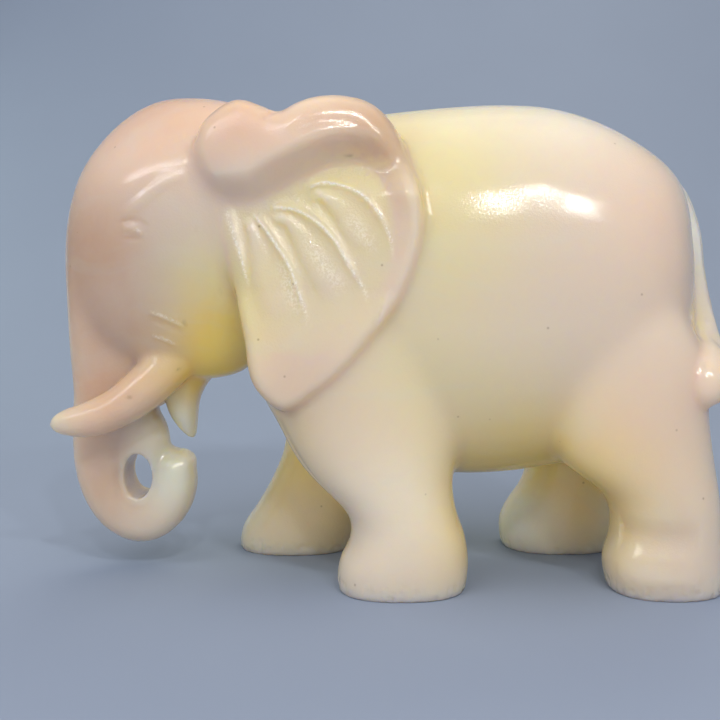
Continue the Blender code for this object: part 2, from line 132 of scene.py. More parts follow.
# Legs, sliced level: side, then z, front, back, outer and inner distance from the middle plane
LEGS = [
    (-1, [
        (68, -12, 11, 20, 8), (60, -20, 15, 24.6, 6), (52, -24, 17, 26.8, 4),
        (44, -25.4, 17, 27.8, 3.5), (38.5, -24.2, 16.3, 28.4, 3.5), (34, -21.6, 15.6, 28.7, 3.8),
        (29.5, -19.4, 14.9, 28.8, 4.3), (24.8, -16.5, 13.9, 28.6, 5), (21, -13, 13.5, 28.4, 5.5),
        (17.5, -9.3, 13.9, 28.3, 6), (14.6, -7.1, 14.5, 28.3, 6.2), (12, -6.8, 15.6, 28.5, 6.2),
        (9, -7.5, 16.3, 28.8, 6), (6.5, -9.2, 16.6, 29.1, 5.6), (3.7, -9.9, 16.6, 29.2, 5.5),
        (1.4, -9.9, 16.3, 29.2, 5.5), (-SOLE_DEPTH, -9.2, 15.6, 28.9, 6)]),
    (-1, [
        (72, 40, 50, 19, 10), (64, 37, 56, 23.5, 6), (56, 34, 60.6, 26.8, 4),
        (50, 32.3, 62.8, 28.4, 3.8), (44, 31.5, 63.8, 29.2, 3.6), (38, 31.5, 63.6, 29.6, 3.7),
        (30, 32.5, 64.3, 29.4, 4), (26, 34.5, 64.9, 29.1, 4.5), (22.5, 38.8, 65.4, 28.8, 5),
        (19.5, 42.8, 65.9, 28.5, 5.5), (16.5, 44.8, 66.2, 28.4, 6), (12, 45.1, 66.5, 28.4, 6),
        (8.8, 44.6, 66.7, 28.7, 6), (6.5, 43.4, 66.9, 29.1, 5.6), (4, 43.5, 67, 29.2, 5.5),
        (1.4, 44, 67, 29.2, 5.5), (-SOLE_DEPTH, 45.2, 66.4, 28.9, 6)]),
    (1, [
        (68, -12, 11, 20, 8), (58, -19, 14, 25, 4), (48, -22, 12, 27, 3.5),
        (38, -22.5, 8, 28.4, 3.5), (30, -22.8, 4.5, 28.7, 4.2), (23.5, -23.4, 1.5, 28.4, 5),
        (16, -26.5, -1.5, 28.3, 5.8), (9, -30.6, -4.6, 28.7, 6), (5, -33.5, -6.4, 29.1, 5.6),
        (2.6, -34.2, -7.2, 29.2, 5.5), (0.8, -34.3, -7.6, 29.2, 5.5),
        (-SOLE_DEPTH, -34, -8.4, 28.9, 6)]),
    (1, [
        (72, 40, 50, 19, 10), (63, 37, 55, 24, 6), (54, 34, 58.6, 27.2, 4.4),
        (45, 32, 60, 28.8, 3.5), (34, 31.6, 59, 29.2, 4), (25, 32.2, 56.8, 28.8, 4.8),
        (18.5, 32.3, 55.4, 28.4, 5.5), (14, 30.9, 54.6, 28.4, 6), (10.5, 28.4, 54, 28.7, 6),
        (7, 26.3, 53.6, 29.1, 5.6), (4.5, 25.8, 53.4, 29.2, 5.5), (1.8, 26.1, 53.2, 29.2, 5.5),
        (-SOLE_DEPTH, 27.2, 52.4, 28.9, 6)]),
]

# Tail and its tuft: x, y, z, half depth, half breadth
TAIL = [
    (55, 0, 84, 2, 2.4), (60.4, -0.5, 79.2, 2.6, 3), (63.2, -1.6, 72, 2.7, 3.2),
    (64.4, -4.5, 61.5, 2.2, 3.2), (64.8, -9.5, 52.6, 2.4, 3.2), (64.2, -15.5, 47.4, 3, 3.4),
    (63.4, -20, 44.6, 4, 4.2), (62, -22.8, 41.8, 4.6, 4.6), (61.2, -23.8, 39, 3.9, 3.9),
    (60.8, -24, 36.6, 1, 1)]

# Ear: how far its face lies from the middle plane at the front, how much further per unit
# backwards, and per unit below the drooping lower half's top
EAR_OUT = 23
EAR_FLARE = 0.16
EAR_DROOP = 0.16
EAR_DROOP_TOP = 60
EAR_FRONT = -33
EAR_BACK = ((1, 20), (0.9, 12), (0.4, 11))  # its hidden back: share of the edge, y
# Opposite corners of the side view's boxes that hold the ear and its fan, and how far from the
# middle plane the ear's face begins
EAR_BOX = ((-39, 34), (10, 100))
FAN_BOX = ((-36, 48), (6, 88))
EAR_FROM = 14
EAR_SKIN = 3  # a surface nearer to the carved face than this belongs to it
EAR_HOLD = (0.5, 1.6)  # depths inside the edge over which it takes the exact face
EAR_SHOWN = (-0.6, 0.4)  # and over which it takes the ear's tint

# Rolled rim: its rounding grows to this many times over these heights, it swells over those
# and halves over that length, its swelling is full this far above its lower edge, and from
# there its face leans back towards the top
ROUND_GROWTH = 1.6
ROUND_SPAN = (76, 92)
SWELL_SPAN = (54, 80)
SWELL_LEAST = 0.15
THIN_SPAN = (0, 9)
ROLL_REACH = (-0.8, 6.2)
ROLL_CROWN = (82, 89)
ROLL_BOW = 0.25
# The front lobe domes softly inwards from its edge: how far, how deep, where it fades along x
# and upwards, and the share of the face's lean that it takes away
LOBE_REACH = 9.5
LOBE_DEPTH = 1.8
LOBE_SPAN = (-13, -22)
LOBE_RISE = (76, 84)
LOBE_UPRIGHT = 0.7
# Towards the back the flare of the rim's upper part levels out: from this x, this fast, and
# over these heights
LEVEL_FROM = -20
LEVEL_RATE = 0.0095
LEVEL_SPAN = (77, 86)

# Fan: its hollow is full to the first distance from its root and gone at the second
FAN_ROOT = (-26, 79)
FAN_REACH = (16, 38)
FAN_PIVOT = (-16, 61)  # from here the fan's floor leans back, by this much backwards
FAN_LEAN = (0.03, 0.08)  # and upwards
RIB_ENDS = (0.1, 0.35)  # shares of a rib's length over which it rises and fades
RIB_ROOT = 0.35  # its breadth at the root, as a share of its full breadth
RIB_GROWS = 0.5  # share of its length over which it widens
RIB_UNDER = (1.5, -0.5)  # distances past the fold's edge between which the ribs run out
# Across a rib, from the side towards the rim: share of its breadth, share of its height
RIB_PROFILE = [
    (-0.6, 0), (-0.4, 0.12), (-0.2, 0.34), (-0.1, 0.52), (-0.05, 0.75), (0, 1), (0.03, 0.85),
    (0.07, 0.52), (0.13, 0.36), (0.22, 0.34), (0.36, 0.46), (0.5, 0.62), (0.64, 0.66), (0.78, 0.5),
    (0.92, 0.16), (1, 0)]

# Ear in side view, x and z: its edge, its middle, the fold's lower edge and the fan's crests
EAR_EDGE = [
    (-31.8, 95.1), (-27.8, 96.8), (-22.8, 95.3), (-19.8, 94.1), (-16.3, 95.8), (-9, 97.1),
    (-2, 95.5), (3.7, 89.3), (6.7, 81), (7.7, 71), (5.4, 61.8), (-1.6, 51.2), (-12.6, 40.2),
    (-19.5, 36.8), (-24.8, 41), (-27.3, 51), (-29.5, 61), (-31.6, 71), (-33.6, 79), (-36.6, 85.5),
    (-35.6, 91.2)]
EAR_MIDDLE = (-13, 70)
# The ear's front edge, which flows into the cheek
EAR_FRONT_EDGE = [
    (-35.9, 91.5), (-36.6, 87), (-35, 81.5), (-33, 77), (-31.6, 71), (-30, 64), (-28.8, 57)]
MELT_HALF = 3.6
MELT_PASSES = 60
MELT_STEP = 0.8  # how far a pass moves a point to the mean of its neighbours
MELT_FROM = 10  # distance from the middle plane beyond which it works
FOLD_EDGE = [
    (-36, 77), (-31.3, 76.8), (-27.6, 76.8), (-23.8, 77.4), (-20.2, 79.2), (-16.5, 81.1),
    (-12.5, 82.9), (-8.5, 84.1), (-4, 84.1), (-0.4, 82), (2, 77), (3.1, 70.8), (2.7, 65.6),
    (1, 60)]
RIBS = [
    [(-30.5, 76.5), (-29.1, 71.8), (-27.5, 66.9), (-25.6, 60)],
    [(-25.2, 75.2), (-22.5, 71.8), (-19.9, 68), (-18, 64.9), (-16.1, 59.9), (-14.9, 56.1),
     (-14.2, 52)],
    [(-21.8, 75.8), (-17, 75.5), (-13.4, 73.6), (-9.6, 70.2), (-6.4, 64.9), (-4, 60.9), (-2.1, 56)],
    [(-14.8, 79.2), (-12, 80.3), (-7.3, 79.7), (-3.8, 78), (-0.9, 74.7), (1.2, 70.7), (2.2, 65)]]

CREST_LINE = 0.28  # half breadth of the painted highlight along a rib's crest
CREST_ENDS = (0.1, 0.8)  # shares of the rib's length between which it is full
# Other painted highlights: thin lines on the edges of folds and the eyelid, and broad patches of
# glints on the pads between the ribs: strength, half breadth, line
GLINT_LINES = [
    (0.5, 0.28, [(-46.8, 56.1), (-43.4, 54.9), (-39.8, 53)]),
    (0.6, 0.28, [(-46.7, 51.2), (-44.3, 50.4), (-42, 49.2)]),
    (0.5, 0.28, [(-49.4, 72.2), (-48, 72.1), (-46.4, 71.5)]),
    (0.9, 0.28, [(-25.8, 74.2), (-23.4, 69.6), (-21.4, 65.7)]),
    (0.6, 1.3, [(-19.6, 65.9), (-18.3, 62), (-17.1, 58.1), (-16.2, 55.6)]),
    (0.6, 1.5, [(-15.4, 70.4), (-12.6, 66.5), (-9.8, 63), (-7.1, 59.6)]),
    (0.6, 1.4, [(-6.9, 74.3), (-4.5, 71.5), (-2.2, 68.8), (-0.9, 67.2)])]

# The rolled rim's top has two soft crests with a shallow valley between them: height of the
# valley's wave, its length, how far below the edge it lies, and its reach along x and upwards
CREST_WAVE = 0.07
CREST_LENGTH = 3.4
CREST_PLACE = 4.6
CREST_SPAN = (-20, -13, 1, 5)
CREST_RISE = (80, 86)

# Ridges and creases cut along lines of the side view: half breadth, height, both sides, line
RELIEF = [
    (1.8, 0.34, True, [(-51.5, 74.9), (-48.6, 76.7), (-45.4, 79), (-42.8, 80.8),
                       (-40.3, 81.9), (-37.4, 82.2)]),  # brow
    (1.2, 0.34, True, [(-51.4, 72.2), (-49.2, 72.5), (-46.9, 71.5)]),  # upper lid
    (0.8, -0.2, True, [(-52.6, 73.4), (-50.2, 74.1), (-47.6, 73.9), (-45.6, 72.4)]),
    (0.8, -0.14, True, [(-51.2, 70.9), (-49, 70.5), (-46.8, 70.4)]),
    (0.6, 0.3, True, [(-46.8, 55.8), (-43.4, 54.6), (-39.8, 52.7)]),  # cheek fold
    (0.6, 0.3, True, [(-46.7, 50.9), (-44.3, 50.1), (-42, 48.9)]),  # fold above the tusk
    (0.9, -0.2, True, [(-46.8, 54.3), (-43.6, 53.3), (-40.4, 51.5)]),  # hollow between them
    (1.1, -0.30, True, [(-22.4, 92.4), (-21, 93.6), (-20, 95)]),  # crease in the dip
    (4.5, -0.9, True, [(42, 12.5), (50, 12), (60, 12)]),  # ankle of the hind leg
    (3.2, 0.45, True, [(45, 4.2), (52, 4.4), (60, 4.2)]),  # its foot
    (1.3, -0.28, False, [(-20.9, 35.2), (-18.8, 30.5), (-15.8, 25.2), (-11.8, 19.6),
                         (-8.6, 16.4)]),  # groove down the leg
]
FLANK_TURN = 0.35  # they are cut where the surface faces sideways at least this much

# Rump drawn back beside the tail: how far, from which breadth, and over which x and heights
RUMP_BACK = 2.0
RUMP_FROM = (2.9, 5)
RUMP_SPAN = (44, 62)
RUMP_TOP = (86, 68)
RUMP_FOOT = (40, 58)

# Chipping of the feet's rims: from the ground up to this height, its fineness and depth, and
# the noise at which it starts and is full
WEAR_TOP = 4.5
WEAR_RATE = 0.8
WEAR_DEPTH = 0.2
WEAR_SPAN = (0.05, 0.35)


def linear(code):
    """An sRGB hex colour as linear red, green, blue and alpha."""
    shares = [int(code[i:i + 2], 16) / 255 for i in (1, 3, 5)]
    return (*[c / 12.92 if c <= 0.04045 else ((c + 0.055) / 1.055) ** 2.4 for c in shares], 1.0)


def tint(name, description, code):
    """A colour that the panel shows, with its default as sRGB hex."""
    return bpy.props.FloatVectorProperty(
        name=name, description=description, subtype="COLOR", size=4, min=0, max=1,
        default=linear(code))


def amount(name, description, default, unit="LENGTH"):
    """A length in metres, or a power in watts, that the panel shows."""
    return bpy.props.FloatProperty(
        name=name, description=description, default=default, min=0, unit=unit)


class ElephantSizes(bpy.types.PropertyGroup):
    """Sizes of the carved figure."""
    height: amount("Height", "Crown of the head above the soles", 0.1456)
    trunk_breadth: amount("Trunk breadth", "The trunk's curl, side to side", 0.02)
    eye_length: amount("Curl hole length", "Hole in the trunk's curl, up and down", 0.0142)
    eye_breadth: amount("Curl hole breadth", "Hole in the trunk's curl, front to back", 0.0088)
    rim_round: amount("Ear edge rounding", "Radius of the ear's edge", 0.0042)
    roll_rise: amount("Rolled rim", "How far the ear's rolled rim stands out", 0.0038)
    hollow_sink: amount("Fan hollow", "How far the ear's fan lies below its face", 0.0018)
    rib_rise: amount("Rib height", "Height of the fan's ribs above its floor", 0.002)
    rib_breadth: amount(
        "Rib breadth", "From a rib's crest down its gentle side to the floor", 0.013)


class ElephantTints(bpy.types.PropertyGroup):
    """Tints of the jade, some of them painted light, glow, shade and glints."""
    cream: tint("Cream", "Body of the stone", "#E4D5C3")
    peach: tint("Peach", "Crown, ear rims and tusks", "#EFCFBA")
    # Ash is grey laid on as painted shade.
    ash: tint("Ash", "Greyer stone of the cheek", "#CBBDB2")
    # Tan is mostly painted shade: a darker brown laid where the figure should look shaded.
    tan: tint("Tan", "Browner stone of the brow and trunk's front", "#CDA88C")
    # Honey is partly the stone's yellow and partly painted glow, for light through the stone behind
    # the ears and in the fan.
    honey: tint("Honey", "Yellow stone behind the ears and in the fan", "#E6DDA6")
    # Ochre is the stone's deep yellow, brightened as painted glow in the throat and under the
    # belly.
    ochre: tint("Ochre", "Deep yellow stone of the throat and belly", "#FADA68")
    # Glow is painted light: a light yellow laid into folds that the figure closes round, as if lit
    # through the stone.
    glow: tint("Glow", "Stone in folds, which light reaches from within", "#F3E7A2")
    # Frost is painted highlight: glints along the crests, the folds' edges, the eyelid and the
    # fan's pads.
    painted_glint: tint("Frost", "Crushed stone along the crests and chips", "#FFF8EA")
    # Pearl is painted light: pale tint laid where light falls or shade is lifted.
    pearl: tint("Pearl", "Whitest stone, on the back and the tail", "#F9F6EA")
    grime: tint("Grime", "Dirt in the smallest pores", "#8A6C50")
    # Milk tints the veins, and on thin stone it is painted glow for light passing through.
    milk: tint("Milk", "Greenish white stone of the thin parts", "#D9DBCE")


class StageLook(bpy.types.PropertyGroup):
    """Floor and lamps of the studio."""
    floor: tint("Floor", "Painted floor and backdrop", "#8E9BB2")
    sky: tint("Fill", "Colour of the light from all round", "#BCC0C8")
    sky_strength: bpy.props.FloatProperty(
        name="Fill strength", description="Light from all round", default=0.65, min=0)
    softbox_power: amount("Softbox power", "Large lamp overhead", 3.6, "POWER")
    rear_power: amount("Rear softbox power", "Large lamp above and behind the figure", 4.8, "POWER")
    window_power: amount(
        "Window power", "Lamp behind the head, which lights the far legs", 2.2, "POWER")
    low_power: amount(
        "Low lamp power", "Warm lamp near the floor in front of the figure", 0.55, "POWER")
    strip_power: amount("Strip power", "Long narrow lamp in front of the head", 1.7, "POWER")
    spot_power: amount("Spot power", "Each of the three small lamps", 1.2, "POWER")


def smooth(rows, count, closed=False):
    """The rows, resampled evenly along a smooth curve that passes through every one of them."""
    rows = np.array(rows, float)
    if closed:
        rows = np.vstack((rows[-3:], rows, rows[:4]))
    at = np.concatenate(([0.0], np.cumsum(np.linalg.norm(np.diff(rows, axis=0), axis=1))))
    slope = np.gradient(rows, at, axis=0)
    start, end = (at[3], at[-4]) if closed else (at[0], at[-1])
    where = np.linspace(start, end, count, endpoint=not closed)
    cell = np.clip(np.searchsorted(at, where, side="right") - 1, 0, len(at) - 2)
    span = (at[cell + 1] - at[cell])[:, None]
    u = (where - at[cell])[:, None] / span
    return (rows[cell] * (1 + 2 * u) * (1 - u) ** 2 + rows[cell + 1] * u * u * (3 - 2 * u)
            + slope[cell] * span * u * (1 - u) ** 2 - slope[cell + 1] * span * u * u * (1 - u))


def section(power):
    """Two arrays, the sides of a unit section: round at power 2, squarer above it."""
    angle = np.arange(SIDES) * 2 * math.pi / SIDES
    across, up = np.cos(angle), np.sin(angle)
    return (np.sign(across) * np.abs(across) ** (2 / power),
            np.sign(up) * np.abs(up) ** (2 / power))


def level_rings(rows, power, taper=0.0, count=44):
    """Rings of a form sliced level, from z, front, back, near and far."""
    across, side = section(power)
    side = side * (1 - taper * ((1 - across) / 2) ** 3)
    rings = []
    for z, front, back, near, far in smooth(rows, count):
        rings.append(np.column_stack((
            (front + back) / 2 + (back - front) / 2 * across,
            (near + far) / 2 + (far - near) / 2 * side,
            np.full(SIDES, z))))
    return rings


def both_sides(rows):
    """Rows of z, front, back and half breadth, with that breadth towards either side."""
    return [(z, front, back, -half, half) for z, front, back, half in rows]


def upright_rings(rows, power, count=60):
    """Rings of a form sliced across X, from x, underside, top and half breadth."""
    side, up = section(power)
    return [np.column_stack((np.full(SIDES, x), half * side, (low + high) / 2
                             + (high - low) / 2 * up))
            for x, low, high, half in smooth(rows, count)]


def limb_rings(rows, power=2.0, count=60):
    """Rings of a bent round form, from x, y, z, half depth in its own plane, half breadth."""
    path = smooth(rows, count)
    heading = np.gradient(path[:, :3], axis=0)
    depth, side = section(power)
    rings = []
    for (x, y, z, half_depth, half_side), ahead in zip(path, heading):
        ahead = ahead / np.linalg.norm(ahead)
        beside = np.array((0.0, 1.0, 0.0)) - ahead[1] * ahead
        beside /= np.linalg.norm(beside)
        out = np.cross(ahead, beside)
        rings.append(np.array((x, y, z)) + np.outer(depth * half_depth, out)
                     + np.outer(side * half_side, beside))
    return rings


def from_line(points, line):
    """Distance of each point to a line, how far along it (0 to 1), and which side it is on."""
    start, step = line[:-1], np.diff(line, axis=0)
    length = np.einsum("ij,ij->i", step, step)
    near, place, turn = [], [], []
    for block in np.array_split(points, max(1, len(points) // BATCH)):
        reach = block[:, None, :] - start[None]
        along = np.clip(np.einsum("nij,ij->ni", reach, step) / length, 0, 1)
        gap = reach - along[..., None] * step[None]
        distance = np.linalg.norm(gap, axis=2)
        best = distance.argmin(axis=1)
        row = np.arange(len(block))
        near.append(distance[row, best])
        place.append((best + along[row, best]) / len(step))
        turn.append(np.sign(step[best, 0] * gap[row, best, 1] - step[best, 1] * gap[row, best, 0]))
    return np.concatenate(near), np.concatenate(place), np.concatenate(turn)


def within(view, low, high):
    """Which points of a side view lie in the box between two corners."""
    return ((view > low) & (view < high)).all(axis=1)


def round_line(view, line, reach):
    """Which points of a side view lie in the box that reaches this far round a line."""
    return within(view, np.min(line, axis=0) - reach, np.max(line, axis=0) + reach)


def ramp(value, start, end):
    """0 up to start, 1 from end on, and straight in between; start may be the larger."""
    return np.clip((value - start) / (end - start), 0, 1)


def eased(value, start, end):
    """As ramp, with soft ends."""
    share = ramp(value, start, end)
    return share * share * (3 - 2 * share)


class Ear:
    """The carved face of an ear, as a height over its side view."""

    def __init__(self, sizes):
        share = sizes.height / 100
        self.rim = sizes.rim_round / share
        self.roll = sizes.roll_rise / share
        self.sink = sizes.hollow_sink / share
        self.rise = sizes.rib_rise / share
        self.breadth = sizes.rib_breadth / share
        edge = smooth(EAR_EDGE, EDGE_STEPS, closed=True)
        self.edge = np.vstack((edge, edge[:1]))
        self.fold = smooth(FOLD_EDGE, FOLD_STEPS)

    def rib_height(self, points, crest):
        """Height over each point of one rib: a rise to a sharp crest, a step down, then a pad."""
        gap, along, side = from_line(points, smooth(crest, LINE_STEPS))
        rise, fade = RIB_ENDS
        ends = eased(along, 0, rise) * eased(along, 1, 1 - fade)
        breadth = self.breadth * (RIB_ROOT + (1 - RIB_ROOT) * eased(along, 0, RIB_GROWS))
        profile = smooth(RIB_PROFILE, PROFILE_STEPS)
        return ends * np.interp(-side * gap / breadth, profile[:, 0], profile[:, 1])

    def inside(self, points):
        """How far inside the ear's edge each point lies; less than zero is outside."""
        gap, _, side = from_line(points, self.edge)
        return -side * gap

    def surface(self, points):
        """How far out of the middle plane the ear's face lies over each point."""
        x, z = points[:, 0], points[:, 1]
        face = (EAR_OUT + EAR_FLARE * (x - EAR_FRONT)
                + EAR_DROOP * np.clip(EAR_DROOP_TOP - z, 0, None)
                - LEVEL_RATE * np.clip(x - LEVEL_FROM, 0, None) ** 2 * eased(z, *LEVEL_SPAN))
        inside = np.abs(self.inside(points))
        start, full, last, end = CREST_SPAN
        crest = eased(x, start, full) * eased(x, end, last) * eased(z, *CREST_RISE)
        lobe = eased(x, *LOBE_SPAN)
        growth = (ROUND_GROWTH - 1) * ramp(z, *ROUND_SPAN) * (1 - crest) * (1 - lobe)
        bend = self.rim * (1 + growth)
        face -= bend * (1 - np.sqrt(1 - ramp(inside, bend, 0) ** 2))
        face -= LOBE_DEPTH * ramp(inside, LOBE_REACH, 0) ** 2 * lobe * eased(z, *LOBE_RISE)

        gap, _, side = from_line(points, self.fold)
        over = side * gap
        up = eased(over, *ROLL_REACH)
        swell = np.maximum(ramp(z, *SWELL_SPAN), SWELL_LEAST) * (1 - ramp(x, *THIN_SPAN) / 2)
        face += self.roll * swell * up
        low, high = ROLL_CROWN
        turned = np.clip(z - low, 0, high - low)
        face -= (ROLL_BOW * (turned ** 2 / 2 / (high - low) + np.clip(z - high, 0, None))
                 * (1 - LOBE_UPRIGHT * lobe))
        below = inside - CREST_PLACE
        wave = crest * eased(np.abs(below), CREST_LENGTH, CREST_LENGTH / 2)
        face -= CREST_WAVE * wave * np.sin(below * 2 * math.pi / CREST_LENGTH)

        spread = eased(np.hypot(x - FAN_ROOT[0], z - FAN_ROOT[1]), FAN_REACH[1], FAN_REACH[0])
        ribs = np.max([self.rib_height(points, crest) for crest in RIBS], axis=0)
        lean = (FAN_LEAN[0] * np.clip(x - FAN_PIVOT[0], 0, None)
                + FAN_LEAN[1] * np.clip(z - FAN_PIVOT[1], 0, None))
        return face + spread * (self.rise * ribs * eased(over, *RIB_UNDER)
                                - (self.sink + lean) * (1 - up))

    def rings(self, side):
        """Rings of one ear: its carved face from the middle outwards, then its buried back."""
        edge = smooth(EAR_EDGE, EAR_SIDES, closed=True)
        middle = np.array(EAR_MIDDLE, float)

        def ring(share, depth=None):
            points = middle + share * (edge - middle)
            out = np.full(len(points), depth) if depth else self.surface(points)
            return np.column_stack((points[:, 0], side * out, points[:, 1]))

        return ([ring(share) for share in np.linspace(*EAR_RINGS)]
                + [ring(share, depth) for share, depth in EAR_BACK])


def body_forms(sizes):
    """Rings of the large masses, which flow into one another."""
    yield upright_rings(BARREL, BODY_POWER)
    yield level_rings(both_sides(SKULL), SKULL_POWER, SKULL_TAPER)
    breadth = sizes.trunk_breadth / 2 / (sizes.height / 100)
    yield limb_rings([(x, 0, z, depth, breadth * share) for x, z, depth, share in TRUNK],
                     TRUNK_POWER)
    for side, rows in LEGS:
        yield level_rings([(z, front, back, side * outer, side * inner)
                           for z, front, back, outer, inner in rows], LEG_POWER)


def detail_forms(ear):
    """Rings of the thin and crisp parts."""
    for rows in (MOUTH_WEB, FINGER, LOWER_LIP):
        yield level_rings(both_sides(rows), CRISP_POWER)
    for side in (-1, 1):
        yield limb_rings([(x, side * y, *rest) for x, y, *rest in TUSK])
        yield ear.rings(side)
    yield limb_rings(TAIL)


def as_mesh(name, shape):
    """A mesh of an edited shape, which is then let go."""
    mesh = bpy.data.meshes.new(name)
    shape.to_mesh(mesh)
    shape.free()
    return mesh


def placed(name, data):
    """A new object in the scene that shows a mesh, a lamp or a camera."""
    thing = bpy.data.objects.new(name, data)
    bpy.context.scene.collection.objects.link(thing)
    return thing


def skinned(name, forms, share, start=None):
    """A mesh with one closed skin for each form, after those of the start mesh."""
    skin = bmesh.new()
    if start:
        skin.from_mesh(start)
    for rings in forms:
        rows = [[skin.verts.new(point) for point in ring * share] for ring in rings]
        faces = []
        for low, high in zip(rows[:-1], rows[1:]):
            for i in range(len(low)):
                j = (i + 1) % len(low)
                faces.append(skin.faces.new((low[i], low[j], high[j], high[i])))
        for row in (rows[0], rows[-1]):
            faces.append(skin.faces.new(row))
        bmesh.ops.recalc_face_normals(skin, faces=faces)
    return as_mesh(name, skin)


def worked(name, mesh, *steps):
    """A new mesh: the old one after modifiers, each given as its kind and its settings."""
    thing = placed(name, mesh)
    for kind, settings in steps:
        step = thing.modifiers.new(kind.lower(), kind)
        for key, value in settings.items():
            setattr(step, key, value)
    view = bpy.context.evaluated_depsgraph_get()
    result = bpy.data.meshes.new_from_object(thing.evaluated_get(view))
    bpy.data.objects.remove(thing)
    return result


def fused(name, mesh, cube, passes):
    """A new mesh: the skins fused to one on cubes of the given size, and smoothed."""
    return worked(name, mesh, ("REMESH", {"mode": "VOXEL", "voxel_size": cube}),
                  ("SMOOTH", {"factor": 0.5, "iterations": passes}))


def cutters(sizes):
    """The drill for the curl's hole and the block below the ground."""
    share = sizes.height / 100
    drill, block = bmesh.new(), bmesh.new()
    bmesh.ops.create_cone(
        drill, cap_ends=True, segments=48, radius1=0.5, radius2=0.5,
        depth=2 * sizes.trunk_breadth,
        matrix=Matrix.Translation((CURL_EYE[0] * share, 0, CURL_EYE[1] * share))
        @ Matrix.Diagonal((sizes.eye_breadth, 1, sizes.eye_length, 1))
        @ Matrix.Rotation(math.pi / 2, 4, "X"))
    bmesh.ops.create_cube(
        block, size=1, matrix=Matrix.Translation((0, 0, -sizes.height / 2))
        @ Matrix.Diagonal((3 * sizes.height, 2 * sizes.height, sizes.height, 1)))
    return [placed(name, as_mesh(name, shape))
            for name, shape in (("drill", drill), ("block", block))]


def read_vectors(items, key):
    """The named vector of every item of a mesh, as rows."""
    values = np.empty(len(items) * 3)
    items.foreach_get(key, values)
    return values.reshape(-1, 3)


def write_points(mesh, points):
    """Moves the mesh's vertices to the points."""
    mesh.vertices.foreach_set("co", points.ravel())
    mesh.update()


def carve_ears(points, ear):
    """Sets the points on the ears' faces exactly to the carved surface."""
    near = within(points[:, (0, 2)], *EAR_BOX) & (np.abs(points[:, 1]) > EAR_FROM)
    view = points[near][:, (0, 2)]
    side, out = np.sign(points[near, 1]), np.abs(points[near, 1])
    face = ear.surface(view)
    hold = eased(ear.inside(view), *EAR_HOLD) * (np.abs(out - face) < EAR_SKIN)
    points[near, 1] = side * (out + hold * (face - out))


def melt(points, mesh):
    """Blends the surface across the ear's front edge, so that it flows into the cheek."""
    line = smooth(EAR_FRONT_EDGE, LINE_STEPS)
    near = round_line(points[:, (0, 2)], line, MELT_HALF) & (np.abs(points[:, 1]) > MELT_FROM)
    pairs = np.empty(len(mesh.edges) * 2, int)
    mesh.edges.foreach_get("vertices", pairs)
    pairs = pairs.reshape(-1, 2)
    pairs = pairs[near[pairs[:, 0]] & near[pairs[:, 1]]]
    place = np.cumsum(near) - 1
    here = points[near]
    a, b = place[pairs].T
    count = np.maximum(np.bincount(a, minlength=len(here)) + np.bincount(b, minlength=len(here)), 1)
    gap, along, _ = from_line(here[:, (0, 2)], line)
    share = (MELT_STEP * eased(gap, MELT_HALF, MELT_HALF / 3)
             * np.sin(math.pi * along) ** 0.5)[:, None]
    for _ in range(MELT_PASSES):
        total = np.column_stack([np.bincount(a, here[b, k], len(here))
                                 + np.bincount(b, here[a, k], len(here)) for k in range(3)])
        here += share * (total / count[:, None] - here)
    points[near] = here


def carve_relief(points, normals):
    """Raises ridges and cuts creases along the lines of the figure's flanks."""
    for half, height, both, line in RELIEF:
        line = smooth(line, LINE_STEPS)
        near = (round_line(points[:, (0, 2)], line, half) & (np.abs(normals[:, 1]) > FLANK_TURN)
                & (normals[:, 1] * points[:, 1] > 0))
        if not both:
            near &= points[:, 1] < 0
        gap, along, _ = from_line(points[near][:, (0, 2)], line)
        lift = height * np.sin(math.pi * along) ** 0.5 * (1 - eased(gap, 0, half))
        points[near] += normals[near] * lift[:, None]


def free_tail(points):
    """Draws the rump back on both sides of the tail, so that the tail stands out as a ridge."""
    x, y, z = points.T
    middle = np.interp(z, [ring[2] for ring in TAIL[::-1]], [ring[1] for ring in TAIL[::-1]])
    share = (eased(np.abs(y - middle), *RUMP_FROM) * eased(x, *RUMP_SPAN)
             * eased(z, *RUMP_TOP) * eased(z, *RUMP_FOOT))
    points[:, 0] -= RUMP_BACK * share


def wear_soles(points, normals):
    """Chips the feet's rims close to the ground."""
    chipped = np.zeros(len(points))
    low = points[:, 2] < WEAR_TOP
    rough = np.array([noise.noise(Vector(point) * WEAR_RATE) for point in points[low]])
    chipped[low] = eased(rough, *WEAR_SPAN) * eased(points[low, 2], WEAR_TOP, WEAR_TOP / 3)
    points[:, :2] -= WEAR_DEPTH * (normals[:, :2] * chipped[:, None])


def carve_figure(sizes):
    """The figure's mesh with all its carving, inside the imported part's box."""
    share = sizes.height / 100
    ear = Ear(sizes)
    masses = fused("masses", skinned("masses", body_forms(sizes), share), MASS_CUBE, MASS_PASSES)
    whole = fused("whole", skinned("whole", detail_forms(ear), share, masses), CUT_CUBE,
                  CUT_PASSES)
    taken = cutters(sizes)
    for thing in taken:
        whole = worked("cut", whole, ("BOOLEAN", {"operation": "DIFFERENCE", "solver": "EXACT",
                                                  "object": thing}))
    for thing in taken:
        bpy.data.objects.remove(thing)
    whole = fused("crisp", whole, CRISP_CUBE, CRISP_PASSES)

    points = read_vectors(whole.vertices, "co") / share
    carve_ears(points, ear)
    free_tail(points)
    melt(points, whole)
    write_points(whole, points * share)
    normals = read_vectors(whole.vertex_normals, "vector")
    carve_relief(points, normals)
    wear_soles(points, normals)

    low, high = (np.array(corner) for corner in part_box(NODE))
    low, high = low + BOX_INSET, high - BOX_INSET
    points *= share
    least, most = points.min(axis=0), points.max(axis=0)
    write_points(whole, low + (points - least) * (high - low) / (most - least))
    count = sum(len(face.vertices) - 2 for face in whole.polygons)
    if count > TRIANGLES:
        whole = worked("figure", whole, ("DECIMATE", {"ratio": TRIANGLES / count}))
    return whole
